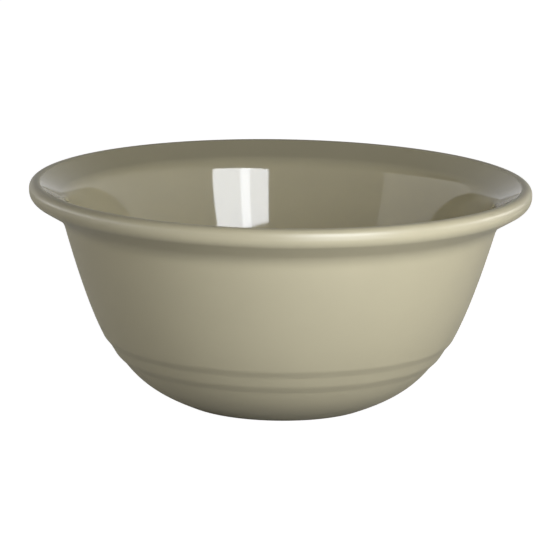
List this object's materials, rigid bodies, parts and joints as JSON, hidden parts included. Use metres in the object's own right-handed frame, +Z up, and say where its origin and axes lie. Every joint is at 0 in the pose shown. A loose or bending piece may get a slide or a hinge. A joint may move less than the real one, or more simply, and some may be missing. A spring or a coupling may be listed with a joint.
{
  "type": "melamine bowl",
  "caption": "Deep round melamine bowl with a flared rim and a rounded edge, two plain moulded rings low on the satin outside, a gloss overlay inside and a foot ring to stand on.",
  "frame": {"origin": "centre of the foot ring, on the plane that the bowl stands on", "axes": "+Z up along the bowl's axis, +X and +Y level and alike because the bowl is turned"},
  "size_m": [0.15, 0.15, 0.0665],
  "materials": {
    "satin_melamine": "satin, as pressed",
    "gloss_melamine": "polished gloss"
  },
  "bodies": {
    "root": {"bowl_body": "satin_melamine", "gloss_overlay": "gloss_melamine"}
  },
  "joints": []
}
